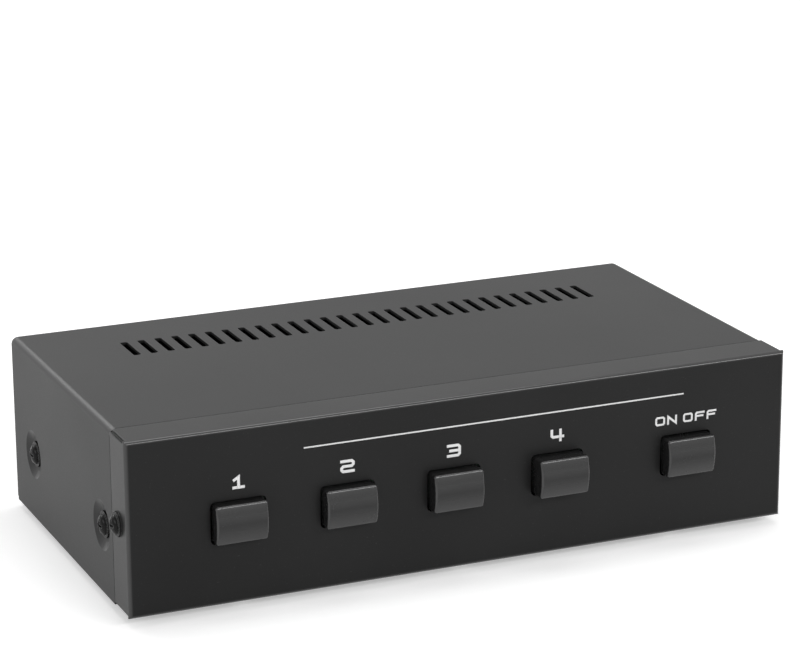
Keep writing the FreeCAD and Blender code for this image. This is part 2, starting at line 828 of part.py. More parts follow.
def make_headers():
    """The ribbon's plugs: two on the switch board and two on the terminal board."""
    headers = []
    y_board = board_front_y + board_long - resistor_wide * 2 - header_wide
    y_rear = panel_y - tail_depth - terminal_board_gap - board_sheet
    for x in (-ribbon_apart / 2, ribbon_apart / 2):
        headers.append(box(x - header_long / 2, x + header_long / 2, y_board,
                           y_board + header_wide, board_top_z, board_top_z + header_tall))
        headers.append(box(x - header_long / 2, x + header_long / 2, y_rear - header_tall, y_rear,
                           block_z - header_wide / 2, block_z + header_wide / 2))
    return headers


def make_ribbons():
    y_board = board_front_y + board_long - resistor_wide * 2 - header_wide / 2
    y_rear = panel_y - tail_depth - terminal_board_gap - board_sheet - header_tall
    high = board_top_z + header_tall + resistor_tall
    drop_y = y_rear - ribbon_drop
    route = [(y_board, board_top_z + header_tall), (y_board, high - ribbon_bend),
             (y_board + ribbon_bend, high), (drop_y - ribbon_drop, high), (drop_y, high - ribbon_drop),
             (drop_y, block_z + ribbon_bend), (drop_y + ribbon_drop / 2, block_z), (y_rear, block_z)]
    return [strip(route, ribbon_sheet, x - ribbon_width / 2, x + ribbon_width / 2)
            for x in (-ribbon_apart / 2, ribbon_apart / 2)]


def main():
    os.makedirs("parts", exist_ok=True)
    save("chassis", make_chassis())
    save("top_cover", make_cover())
    save("front_panel", make_front_panel())
    save("rubber_feet", make_feet())
    save("foot_screws", make_foot_screws())
    save("cover_screws", make_cover_screws())
    save("panel_side_screws", make_pan_screws())
    save("panel_base_screws", make_base_screws())
    save("switch_board", make_switch_board())
    save("board_pillars", make_pillars())
    save("board_screws", make_board_screws())
    save("protection_resistors", make_resistors())
    save("switch_pins", make_switch_pins())
    for i, (x, out) in enumerate(zip(button_xs, cap_outs)):
        save("button_cap_%d" % (i + 1), make_cap(x, out))
        save("switch_stem_%d" % (i + 1), make_stem(x, out))
        save("switch_housing_%d" % (i + 1), make_switch(x))
    all_contacts = []
    lever = make_lever()
    for name, centre, columns in zip(block_names, block_centres, block_columns):
        save("terminal_block_" + name, in_block(make_block(columns), centre, 1))
        contacts = [in_block(shape, centre, 1) for shape in make_contacts(columns)]
        save("contacts_" + name, contacts)
        all_contacts += contacts
        for i, x in enumerate(column_xs(columns)):
            for row, colour in ((1, "red"), (-1, "black")):
                node = "lever_%s_%s_%d" % (name, colour, columns - i)
                save(node, in_block(lever.copy(), centre + x, row))
    save("terminal_board", make_terminal_board(all_contacts))
    save("ribbon_headers", make_headers())
    save("ribbon_cables", make_ribbons())
    whole = case_width + 2 * head_height
    print("overall %.2f x %.2f x %.2f" % (whole, total_depth, top_z))


main()
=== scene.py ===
import json
import math

import bmesh
import bpy
from mathutils import Euler, Matrix, Vector

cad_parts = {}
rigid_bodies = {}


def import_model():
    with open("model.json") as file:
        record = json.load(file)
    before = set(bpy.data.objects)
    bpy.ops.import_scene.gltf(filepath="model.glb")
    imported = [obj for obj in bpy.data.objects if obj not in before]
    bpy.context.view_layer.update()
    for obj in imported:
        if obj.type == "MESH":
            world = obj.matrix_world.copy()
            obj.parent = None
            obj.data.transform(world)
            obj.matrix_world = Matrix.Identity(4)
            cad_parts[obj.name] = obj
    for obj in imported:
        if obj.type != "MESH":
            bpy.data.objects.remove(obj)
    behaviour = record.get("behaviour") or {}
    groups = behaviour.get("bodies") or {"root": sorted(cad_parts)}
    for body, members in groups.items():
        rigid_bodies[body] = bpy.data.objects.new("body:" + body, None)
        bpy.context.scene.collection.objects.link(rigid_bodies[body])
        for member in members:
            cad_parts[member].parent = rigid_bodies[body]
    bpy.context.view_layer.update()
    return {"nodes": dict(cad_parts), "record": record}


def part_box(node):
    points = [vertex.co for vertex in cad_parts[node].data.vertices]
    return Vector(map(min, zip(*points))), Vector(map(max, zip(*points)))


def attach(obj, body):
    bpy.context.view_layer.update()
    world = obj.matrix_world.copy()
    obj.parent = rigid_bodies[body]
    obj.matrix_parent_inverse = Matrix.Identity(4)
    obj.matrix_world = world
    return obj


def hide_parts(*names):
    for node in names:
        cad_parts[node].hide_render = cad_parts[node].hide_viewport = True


# Speaker selector switch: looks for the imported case, buttons and wire terminals.
# Metres, +X right seen from the front, -Y towards the front, +Z up.

for thing in list(bpy.data.objects):
    bpy.data.objects.remove(thing, do_unlink=True)

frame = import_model()
nodes = frame["nodes"]
mm = 0.001
print("stage: frame loaded,", len(nodes), "nodes")


# small helpers

def span(*names):
    boxes = [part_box(name) for name in names]
    low = Vector(min(b[0][i] for b in boxes) for i in range(3))
    high = Vector(max(b[1][i] for b in boxes) for i in range(3))
    return low, high


def addObject(name, mesh):
    thing = bpy.data.objects.new(name, mesh)
    bpy.context.scene.collection.objects.link(thing)
    return thing


def bakeToMesh(thing):
    # the evaluated shape becomes a plain mesh, and the modifiers go
    bpy.context.view_layer.update()
    graph = bpy.context.evaluated_depsgraph_get()
    mesh = bpy.data.meshes.new_from_object(thing.evaluated_get(graph))
    name = thing.name
    bpy.data.objects.remove(thing, do_unlink=True)
    mesh.name = name
    return addObject(name, mesh)


def joinMeshes(name, things):
    merged = bmesh.new()
    materials = []
    for thing in things:
        start = len(merged.faces)
        merged.from_mesh(thing.data)
        merged.faces.ensure_lookup_table()
        slots = []
        for material in thing.data.materials:
            if material not in materials:
                materials.append(material)
            slots.append(materials.index(material))
        for face in merged.faces[start:]:
            face.material_index = slots[face.material_index] if slots else 0
        bpy.data.objects.remove(thing, do_unlink=True)
    mesh = bpy.data.meshes.new(name)
    merged.to_mesh(mesh)
    merged.free()
    for material in materials:
        mesh.materials.append(material)
    return addObject(name, mesh)


def place(thing, body):
    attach(thing, body)
    return thing


# helpers for node trees of any kind

def feed(tree, socket, value):
    # a socket is either set to a value or linked to another socket
    if isinstance(value, bpy.types.NodeSocket):
        tree.links.new(value, socket)
    else:
        socket.default_value = value


def sums(tree, operation, first, second):
    # one step of arithmetic, in a shader tree or a geometry tree
    node = tree.nodes.new("ShaderNodeMath")
    node.operation = operation
    feed(tree, node.inputs[0], first)
    feed(tree, node.inputs[1], second)
    return node.outputs[0]


def ranged(tree, value, fromLow, fromHigh, toLow, toHigh):
    node = tree.nodes.new("ShaderNodeMapRange")
    for label, number in (("Value", value), ("From Min", fromLow), ("From Max", fromHigh),
                          ("To Min", toLow), ("To Max", toHigh)):
        feed(tree, node.inputs[label], number)
    return node.outputs[0]


def mixed(tree, share, first, second):
    node = tree.nodes.new("ShaderNodeMix")
    node.data_type = "RGBA"
    for socket, value in ((node.inputs[0], share), (node.inputs[6], first), (node.inputs[7], second)):
        feed(tree, socket, value)
    return node.outputs[2]


# camera

cameraSettings = {
    # measured from the middle of the metal case
    "fromCase": (-0.3764, -0.8847, 0.3224),
    "turn": -23.18,
    "lookDown": 16.77,
    "roll": -0.33,
    "lens": 136.2,
    "sensor": 36.0,
}
caseLow, caseHigh = span("front_panel", "top_cover", "chassis")
caseMiddle = (caseLow + caseHigh) / 2


def makeCamera(s):
    data = bpy.data.cameras.new("photoCamera")
    data.sensor_width = s["sensor"]
    data.lens = s["lens"]
    camera = bpy.data.objects.new("photoCamera", data)
    aim = Euler((math.radians(90 - s["lookDown"]), 0, math.radians(s["turn"]))).to_matrix()
    camera.matrix_world = (Matrix.Translation(caseMiddle + Vector(s["fromCase"]))
                           @ (aim @ Matrix.Rotation(math.radians(s["roll"]), 3, "Z")).to_4x4())
    bpy.context.scene.collection.objects.link(camera)
    bpy.context.scene.camera = camera
    bpy.context.scene.view_settings.view_transform = "Standard"


makeCamera(cameraSettings)
print("stage: camera")


# floor, world and lamps

floorSettings = {
    "size": 6.0,
    "colour": (0.86, 0.86, 0.86, 1),
    "rough": 0.9,
    "glow": 0.42,
    # far from the object, where the lamps fall off, the floor glows more
    "farGlow": 0.78,
    "near": 0.4,
    "far": 1.8,
}
worldSettings = {
    "light": 0.3,
    "seen": 1.0,
}
lampSettings = {
    # places and sizes in metres, power in watts
    "front": {"place": (0.5, -1.3, 0.85), "aim": (0, 0, 0.03), "size": (1.4, 0.22), "power": 11},
    "overhead": {"place": (0.1, 0.25, 1.5), "aim": (0, 0, 0), "size": (1.2, 0.7), "power": 8},
    "left": {"place": (-1.5, -0.1, 0.6), "aim": (0, 0, 0.03), "size": (1.0, 0.5), "power": 5},
    "right": {"place": (1.5, 0.4, 0.8), "aim": (0, 0, 0.03), "size": (0.9, 0.9), "power": 4},
    "rear": {"place": (-0.5, 1.4, 0.85), "aim": (0, 0, 0.03), "size": (1.4, 0.3), "power": 6},
}


def seenShare(tree):
    # 1 where the camera, a gloss or glass sees the surface
    path = tree.nodes.new("ShaderNodeLightPath").outputs
    seen = sums(tree, "MAXIMUM", path["Is Camera Ray"], path["Is Glossy Ray"])
    return sums(tree, "MAXIMUM", seen, path["Is Transmission Ray"])


def makeFloor(s):
    bpy.ops.mesh.primitive_plane_add(size=s["size"], location=(0, 0, 0))
    floor = bpy.context.object
    floor.name = "studioFloor"
    material = bpy.data.materials.new("paleFloor")
    material.use_nodes = True
    tree = material.node_tree
    surface = tree.nodes["Principled BSDF"]
    surface.inputs["Base Color"].default_value = s["colour"]
    surface.inputs["Roughness"].default_value = s["rough"]
    surface.inputs["Specular IOR Level"].default_value = 0.0
    glow = tree.nodes.new("ShaderNodeEmission")
    away = tree.nodes.new("ShaderNodeVectorMath")
    away.operation = "LENGTH"
    tree.links.new(tree.nodes.new("ShaderNodeTexCoord").outputs["Object"], away.inputs[0])
    rise = ranged(tree, away.outputs["Value"], s["near"], s["far"], s["glow"], s["farGlow"])
    both = tree.nodes.new("ShaderNodeAddShader")
    tree.links.new(sums(tree, "MULTIPLY", seenShare(tree), rise), glow.inputs["Strength"])
    tree.links.new(surface.outputs[0], both.inputs[0])
    tree.links.new(glow.outputs[0], both.inputs[1])
    tree.links.new(both.outputs[0], tree.nodes["Material Output"].inputs["Surface"])
    floor.data.materials.append(material)


def makeWorld(s):
    world = bpy.context.scene.world or bpy.data.worlds.new("studio")
    bpy.context.scene.world = world
    world.use_nodes = True
    tree = world.node_tree
    background = tree.nodes["Background"]
    background.inputs["Color"].default_value = (1, 1, 1, 1)
    tree.links.new(ranged(tree, seenShare(tree), 0.0, 1.0, s["light"], s["seen"]),
                   background.inputs["Strength"])


def makeLamp(name, s):
    data = bpy.data.lights.new(name, "AREA")
    data.shape = "RECTANGLE"
    data.size, data.size_y = s["size"]
    data.energy = s["power"]
    lamp = bpy.data.objects.new(name, data)
    lamp.location = s["place"]
    lamp.rotation_mode = "QUATERNION"
    lamp.rotation_quaternion = (Vector(s["aim"]) - Vector(s["place"])).to_track_quat("-Z", "Y")
    bpy.context.scene.collection.objects.link(lamp)


makeFloor(floorSettings)
makeWorld(worldSettings)
for lampName, lamp in lampSettings.items():
    makeLamp(lampName, lamp)
print("stage: floor, world and lamps")


# shader groups, each built once and placed in many materials

def newGroup(name, inputs, outputs):
    tree = bpy.data.node_groups.new(name, "ShaderNodeTree")
    for label, kind, value in inputs:
        socket = tree.interface.new_socket(name=label, in_out="INPUT", socket_type=kind)
        socket.default_value = value
    for label, kind in outputs:
        tree.interface.new_socket(name=label, in_out="OUTPUT", socket_type=kind)
    return tree, tree.nodes.new("NodeGroupInput"), tree.nodes.new("NodeGroupOutput")


def noise(tree, coordinate, scale, detail=2.0, rough=0.5):
    node = tree.nodes.new("ShaderNodeTexNoise")
    node.inputs["Detail"].default_value = detail
    node.inputs["Roughness"].default_value = rough
    feed(tree, node.inputs["Scale"], scale)
    tree.links.new(coordinate, node.inputs["Vector"])
    return node.outputs["Fac"]


powderSettings = {
    "cloudScale": 14.0,
    "cloudDetail": 3.0,
    "gritTimes": 3.3,      # how much finer the grit is than the peel
    "gritShare": 0.35,
    "speckScale": 1700.0,
    "speckFrom": 0.72,
    "speckTo": 0.8,
    "paleGrey": (0.2, 0.2, 0.2, 1),
    "dustGrey": (0.45, 0.45, 0.44, 1),
    "roughCloud": 0.6,     # share of the cloud in the roughness, the grit has the rest
}
mouldSettings = {
    "flowScale": 90.0,
    "flowDetail": 3.0,
    "darkShare": 0.6,
    "roughFlow": 0.5,
}
edgeSettings = {
    "radius": 0.35 * mm,
    "samples": 6,
    "sharpness": 6.0,
}
noiseLow, noiseHigh = 0.35, 0.65    # the part of a noise's range that is used


def buildPowderGroup(s):
    # baked powder paint: fine peel, a little cloudiness and dust specks
    tree, given, made = newGroup("powderPaint", [
        ("Color", "NodeSocketColor", (0.02, 0.02, 0.02, 1)),
        ("Peel Scale", "NodeSocketFloat", 900.0),
        ("Cloud", "NodeSocketFloat", 0.1),
        ("Dust", "NodeSocketFloat", 0.1),
        ("Rough Low", "NodeSocketFloat", 0.4),
        ("Rough High", "NodeSocketFloat", 0.5),
    ], [("Color", "NodeSocketColor"), ("Roughness", "NodeSocketFloat"), ("Height", "NodeSocketFloat")])
    here = tree.nodes.new("ShaderNodeTexCoord").outputs["Object"]
    cloud = noise(tree, here, s["cloudScale"], s["cloudDetail"])
    peel = noise(tree, here, given.outputs["Peel Scale"], 1.0)
    grit = noise(tree, here, sums(tree, "MULTIPLY", given.outputs["Peel Scale"], s["gritTimes"]), 2.0)
    speck = ranged(tree, noise(tree, here, s["speckScale"], 1.0), s["speckFrom"], s["speckTo"], 0.0, 1.0)
    paler = mixed(tree, 0.5, given.outputs["Color"], s["paleGrey"])
    cloudShare = sums(tree, "MULTIPLY", ranged(tree, cloud, 0.3, 0.7, 0.0, 1.0), given.outputs["Cloud"])
    colour = mixed(tree, cloudShare, given.outputs["Color"], paler)
    dustShare = sums(tree, "MULTIPLY", speck, given.outputs["Dust"])
    colour = mixed(tree, dustShare, colour, s["dustGrey"])
    rough = ranged(tree, sums(tree, "ADD", sums(tree, "MULTIPLY", cloud, s["roughCloud"]),
                              sums(tree, "MULTIPLY", grit, 1 - s["roughCloud"])),
                   noiseLow, noiseHigh, given.outputs["Rough Low"], given.outputs["Rough High"])
    height = sums(tree, "ADD", peel, sums(tree, "MULTIPLY", grit, s["gritShare"]))
    tree.links.new(colour, made.inputs["Color"])
    tree.links.new(rough, made.inputs["Roughness"])
    tree.links.new(height, made.inputs["Height"])
    return tree


def buildMouldGroup(s):
    # moulded plastic: spark-eroded grain, faint flow marks and small gloss changes
    tree, given, made = newGroup("mouldedPlastic", [
        ("Color", "NodeSocketColor", (0.05, 0.05, 0.05, 1)),
        ("Grain Scale", "NodeSocketFloat", 1500.0),
        ("Variation", "NodeSocketFloat", 0.15),
        ("Rough Low", "NodeSocketFloat", 0.35),
        ("Rough High", "NodeSocketFloat", 0.5),
    ], [("Color", "NodeSocketColor"), ("Roughness", "NodeSocketFloat"), ("Height", "NodeSocketFloat")])
    here = tree.nodes.new("ShaderNodeTexCoord").outputs["Object"]
    flow = noise(tree, here, s["flowScale"], s["flowDetail"])
    grain = noise(tree, here, given.outputs["Grain Scale"], 2.0)
    darker = mixed(tree, s["darkShare"], given.outputs["Color"], (0, 0, 0, 1))
    share = sums(tree, "MULTIPLY", ranged(tree, flow, noiseLow, noiseHigh, 0.0, 1.0),
                 given.outputs["Variation"])
    tree.links.new(mixed(tree, share, given.outputs["Color"], darker), made.inputs["Color"])
    patchy = sums(tree, "ADD", sums(tree, "MULTIPLY", flow, s["roughFlow"]),
                  sums(tree, "MULTIPLY", grain, 1 - s["roughFlow"]))
    tree.links.new(ranged(tree, patchy, noiseLow, noiseHigh,
                          given.outputs["Rough Low"], given.outputs["Rough High"]),
                   made.inputs["Roughness"])
    tree.links.new(grain, made.inputs["Height"])
    return tree


def buildEdgeGroup(s):
    # a rounded normal along sharp edges, and a mask of those edges
    tree, given, made = newGroup("roundedEdge", [
        ("Sharpness", "NodeSocketFloat", s["sharpness"]),
    ], [("Normal", "NodeSocketVector"), ("Mask", "NodeSocketFloat")])
    bevel = tree.nodes.new("ShaderNodeBevel")
    bevel.samples = s["samples"]
    bevel.inputs["Radius"].default_value = s["radius"]
    flat = tree.nodes.new("ShaderNodeNewGeometry")
    dot = tree.nodes.new("ShaderNodeVectorMath")
    dot.operation = "DOT_PRODUCT"
    tree.links.new(bevel.outputs[0], dot.inputs[0])
    tree.links.new(flat.outputs["Normal"], dot.inputs[1])
    away = sums(tree, "SUBTRACT", 1.0, dot.outputs["Value"])
    strong = sums(tree, "MULTIPLY", away, given.outputs["Sharpness"])
    tree.links.new(ranged(tree, strong, 0.0, 1.0, 0.0, 1.0), made.inputs["Mask"])
    tree.links.new(bevel.outputs[0], made.inputs["Normal"])
    return tree


def buildBendGroup():
    # 1 where the surface turns between the case's own directions: bends, fillets and dimples
    tree, given, made = newGroup("bendShine", [
        ("Width", "NodeSocketFloat", 2.0),
    ], [("Mask", "NodeSocketFloat")])
    facing = tree.nodes.new("ShaderNodeNewGeometry").outputs["Normal"]
    parts = tree.nodes.new("ShaderNodeSeparateXYZ")
    tree.links.new(facing, parts.inputs[0])
    x, y, z = (sums(tree, "ABSOLUTE", part, 0.0) for part in parts.outputs)
    most = sums(tree, "MAXIMUM", sums(tree, "MULTIPLY", x, y),
                sums(tree, "MAXIMUM", sums(tree, "MULTIPLY", y, z), sums(tree, "MULTIPLY", x, z)))
    wide = sums(tree, "MULTIPLY", most, given.outputs["Width"])
    tree.links.new(sums(tree, "MINIMUM", wide, 1.0), made.inputs["Mask"])
    return tree


powderGroup = buildPowderGroup(powderSettings)
mouldGroup = buildMouldGroup(mouldSettings)
edgeGroup = buildEdgeGroup(edgeSettings)
bendGroup = buildBendGroup()


def useGroup(tree, group, values):
    node = tree.nodes.new("ShaderNodeGroup")
    node.node_tree = group
    for label, value in values.items():
        node.inputs[label].default_value = value
    return node


def finishMaterial(name, group, values, bump, metal=0.0, specular=0.5, edge=None, shine=None):
    # one Principled surface fed by a pattern group, with rounded edges and shinier bends
    material = bpy.data.materials.new(name)
    material.use_nodes = True
    tree = material.node_tree
    surface = tree.nodes["Principled BSDF"]
    pattern = useGroup(tree, group, values)
    rounded = useGroup(tree, edgeGroup, {"Sharpness": edgeSettings["sharpness"]})
    colour = pattern.outputs["Color"]
    # where given, a colour is mixed in along sharp edges: a painted highlight on caps, blocks, red levers
    # and screws, a paler paint along the case's edges
    if edge:
        share = sums(tree, "MULTIPLY", rounded.outputs["Mask"], edge["share"])
        colour = mixed(tree, share, colour, edge["colour"])
    relief = tree.nodes.new("ShaderNodeBump")
    relief.inputs["Strength"].default_value = bump["strength"]
    relief.inputs["Distance"].default_value = bump["depth"]
    tree.links.new(pattern.outputs["Height"], relief.inputs["Height"])
    tree.links.new(rounded.outputs["Normal"], relief.inputs["Normal"])
    tree.links.new(colour, surface.inputs["Base Color"])
    tree.links.new(pattern.outputs["Roughness"], surface.inputs["Roughness"])
    tree.links.new(relief.outputs["Normal"], surface.inputs["Normal"])
    surface.inputs["Metallic"].default_value = metal
    surface.inputs["Specular IOR Level"].default_value = specular
    if shine:
        bends = useGroup(tree, bendGroup, {"Width": shine["width"]})
        tree.links.new(sums(tree, "MULTIPLY", bends.outputs["Mask"], shine["weight"]),
                       surface.inputs["Coat Weight"])
        surface.inputs["Coat Roughness"].default_value = shine["rough"]
    return material


# finishes: what each one is made of

def grey(level):
    return (level, level, level * 1.01, 1)


paintFinishes = {
    "coverPaint": {"Color": grey(0.018), "Peel Scale": 900.0, "Cloud": 0.10, "Dust": 0.05,
                   "Rough Low": 0.42, "Rough High": 0.5},
    "panelPaint": {"Color": grey(0.010), "Peel Scale": 900.0, "Cloud": 0.05, "Dust": 0.04,
                   "Rough Low": 0.32, "Rough High": 0.4},
    "rearPaint": {"Color": grey(0.010), "Peel Scale": 900.0, "Cloud": 0.06, "Dust": 0.05,
                  "Rough Low": 0.38, "Rough High": 0.46},
}
plasticFinishes = {
    "capPlastic": {"Color": grey(0.014), "Grain Scale": 2200.0, "Variation": 0.1,
                   "Rough Low": 0.2, "Rough High": 0.28},
    "blockPlastic": {"Color": grey(0.02), "Grain Scale": 2200.0, "Variation": 0.2,
                     "Rough Low": 0.34, "Rough High": 0.44},
    "redLever": {"Color": (0.86, 0.011, 0.014, 1), "Grain Scale": 2600.0, "Variation": 0.05,
                 "Rough Low": 0.3, "Rough High": 0.38},
    "blackLever": {"Color": grey(0.008), "Grain Scale": 2600.0, "Variation": 0.1,
                   "Rough Low": 0.3, "Rough High": 0.4},
    "footRubber": {"Color": grey(0.014), "Grain Scale": 1200.0, "Variation": 0.3,
                   "Rough Low": 0.75, "Rough High": 0.9},
    "stemPlastic": {"Color": (0.74, 0.74, 0.7, 1), "Grain Scale": 1500.0, "Variation": 0.05,
                    "Rough Low": 0.35, "Rough High": 0.5},
    "switchPlastic": {"Color": grey(0.02), "Grain Scale": 1500.0, "Variation": 0.2,
                      "Rough Low": 0.4, "Rough High": 0.55},
    "resistorBody": {"Color": (0.72, 0.7, 0.63, 1), "Grain Scale": 2600.0, "Variation": 0.25,
                     "Rough Low": 0.8, "Rough High": 0.95},
    "headerPlastic": {"Color": grey(0.012), "Grain Scale": 1800.0, "Variation": 0.1,
                      "Rough Low": 0.4, "Rough High": 0.5},
    "ribbonSkin": {"Color": (0.3, 0.31, 0.33, 1), "Grain Scale": 900.0, "Variation": 0.2,
                   "Rough Low": 0.45, "Rough High": 0.55},
    "circuitBoard": {"Color": (0.02, 0.12, 0.05, 1), "Grain Scale": 1300.0, "Variation": 0.35,
                     "Rough Low": 0.3, "Rough High": 0.42},
    "printInk": {"Color": (0.93, 0.93, 0.93, 1), "Grain Scale": 2600.0, "Variation": 0.06,
                 "Rough Low": 0.5, "Rough High": 0.62},
    "darkInk": {"Color": grey(0.012), "Grain Scale": 2600.0, "Variation": 0.06,
                "Rough Low": 0.5, "Rough High": 0.62},
    "blackScrew": {"Color": grey(0.004), "Grain Scale": 2400.0, "Variation": 0.3,
                   "Rough Low": 0.2, "Rough High": 0.3},
}
metalFinishes = {
    "zincScrew": {"Color": (0.55, 0.55, 0.53, 1), "Grain Scale": 2400.0, "Variation": 0.2,
                  "Rough Low": 0.25, "Rough High": 0.4},
    "pillarBrass": {"Color": (0.72, 0.55, 0.26, 1), "Grain Scale": 2000.0, "Variation": 0.15,
                    "Rough Low": 0.25, "Rough High": 0.38},
    "contactMetal": {"Color": (0.66, 0.64, 0.58, 1), "Grain Scale": 2000.0, "Variation": 0.15,
                     "Rough Low": 0.28, "Rough High": 0.42},
}
peelBump = {"strength": 0.22, "depth": 0.02 * mm}
grainBump = {"strength": 0.18, "depth": 0.012 * mm}
# the paint is paler along sharp edges
paleEdgePaint = {"share": 0.35, "colour": (0.11, 0.11, 0.11, 1)}
# painted highlight: paler red along the red levers' sharp edges
redEdgeHighlight = {"share": 0.6, "colour": (0.95, 0.12, 0.11, 1)}
# painted highlight: lighter grey lines along the sharp edges of the button caps and terminal blocks
greyEdgeHighlight = {"share": 0.7, "colour": (0.16, 0.16, 0.16, 1)}
shines = {
    "coverPaint": {"width": 1.4, "weight": 0.35, "rough": 0.2},
    "panelPaint": {"width": 2.0, "weight": 1.0, "rough": 0.12},
    "rearPaint": {"width": 2.0, "weight": 0.6, "rough": 0.16},
    "capPlastic": {"width": 2.4, "weight": 0.7, "rough": 0.2},
    "blockPlastic": {"width": 2.4, "weight": 0.7, "rough": 0.2},
    "blackScrew": {"width": 1.2, "weight": 0.35, "rough": 0.12},
}
glosses = {"capPlastic": 0.35, "blockPlastic": 0.35, "blackScrew": 0.04}
# painted highlight: light grey rings along the screw heads' sharp rims
screwRimHighlight = {"share": 0.9, "colour": (0.2, 0.2, 0.2, 1)}
edgeTints = {"redLever": redEdgeHighlight, "blockPlastic": greyEdgeHighlight, "capPlastic": greyEdgeHighlight,
             "blackScrew": screwRimHighlight}

finishes = {}
for finishName, values in paintFinishes.items():
    finishes[finishName] = finishMaterial(finishName, powderGroup, values, peelBump,
                                          specular=0.16, edge=paleEdgePaint,
                                          shine=shines.get(finishName))
for finishName, values in plasticFinishes.items():
    finishes[finishName] = finishMaterial(finishName, mouldGroup, values, grainBump,
                                          specular=glosses.get(finishName, 0.2),
                                          edge=edgeTints.get(finishName),
                                          shine=shines.get(finishName))
for finishName, values in metalFinishes.items():
    finishes[finishName] = finishMaterial(finishName, mouldGroup, values, grainBump, metal=1.0)
print("stage: finishes,", len(finishes))


# every CAD node takes the finish of its material slot

slotFinishes = {
    "case_paint": "rearPaint",
    "cover_paint": "coverPaint",
    "panel_paint": "panelPaint",
    "foot_rubber": "footRubber",
    "black_screw": "blackScrew",
    "zinc_screw": "zincScrew",
    "pillar_brass": "pillarBrass",
    "cap_plastic": "capPlastic",
    "stem_plastic": "stemPlastic",
    "switch_plastic": "switchPlastic",
    "block_plastic": "blockPlastic",
    "red_lever": "redLever",
    "black_lever": "blackLever",
    "contact_metal": "contactMetal",
    "circuit_board": "circuitBoard",
    "resistor_body": "resistorBody",
    "header_plastic": "headerPlastic",
    "ribbon_skin": "ribbonSkin",
}
slotOf = {part["node"]: part["material_slot"] for part in frame["record"]["subparts"]}
for name, node in nodes.items():
    node.data.materials.clear()
    node.data.materials.append(finishes[slotFinishes[slotOf[name]]])
print("stage: CAD nodes dressed")


# geometry nodes trees, built once

def newTree(name, sizes, materialName):
    # named inputs: the seats, the sizes in metres and the finish
    tree = bpy.data.node_groups.new(name, "GeometryNodeTree")
    tree.interface.new_socket(name="Seats", in_out="INPUT", socket_type="NodeSocketGeometry")
    for label, value in sizes.items():
        socket = tree.interface.new_socket(name=label, in_out="INPUT", socket_type="NodeSocketFloat")
        socket.default_value = value
    socket = tree.interface.new_socket(name="Finish", in_out="INPUT", socket_type="NodeSocketMaterial")
    socket.default_value = finishes[materialName]
    tree.interface.new_socket(name="Made", in_out="OUTPUT", socket_type="NodeSocketGeometry")
    return tree, tree.nodes.new("NodeGroupInput"), tree.nodes.new("NodeGroupOutput")


def step(tree, kind, links=None, **values):
    # one node, with its settings and with sockets set or linked by name
    node = tree.nodes.new(kind)
    for label, value in values.items():
        setattr(node, label, value)
    for label, value in (links or {}).items():
        feed(tree, node.inputs[label], value)
    return node


def combined(tree, x, y, z):
    node = tree.nodes.new("ShaderNodeCombineXYZ")
    for socket, value in zip(node.inputs, (x, y, z)):
        feed(tree, socket, value)
    return node.outputs[0]


def movedMesh(tree, mesh, x, y, z, scale=None):
    links = {"Geometry": mesh, "Translation": combined(tree, x, y, z)}
    if scale:
        links["Scale"] = combined(tree, *scale)
    return step(tree, "GeometryNodeTransform", links).outputs["Geometry"]


def settle(tree, given, made, part, scaleField=None):
    # one part on every seat, turned to the seat's own direction, then real mesh and finish
    facing = step(tree, "GeometryNodeInputNamedAttribute", {"Name": "facing"}, data_type="FLOAT_VECTOR")
    turn = step(tree, "FunctionNodeAlignRotationToVector", {"Vector": facing.outputs["Attribute"]}, axis="Z")
    links = {"Points": given.outputs["Seats"], "Instance": part, "Rotation": turn.outputs["Rotation"]}
    if scaleField:
        links["Scale"] = scaleField
    many = step(tree, "GeometryNodeInstanceOnPoints", links)
    real = step(tree, "GeometryNodeRealizeInstances", {"Geometry": many.outputs["Instances"]})
    finish = step(tree, "GeometryNodeSetMaterial",
                  {"Geometry": real.outputs["Geometry"], "Material": given.outputs["Finish"]})
    tree.links.new(finish.outputs["Geometry"], made.inputs["Made"])


screwShape = {
    "around": 64,
    "rings": 32,
    "flangeTop": 0.94,      # radius at the top of the flange, as a share of the head's
    "shankAround": 32,
    "shankDown": -0.498,    # just under half its length, so that it joins the head
    "cutter": 50 * mm,
    "creaseFrom": 0.5,      # radians
}


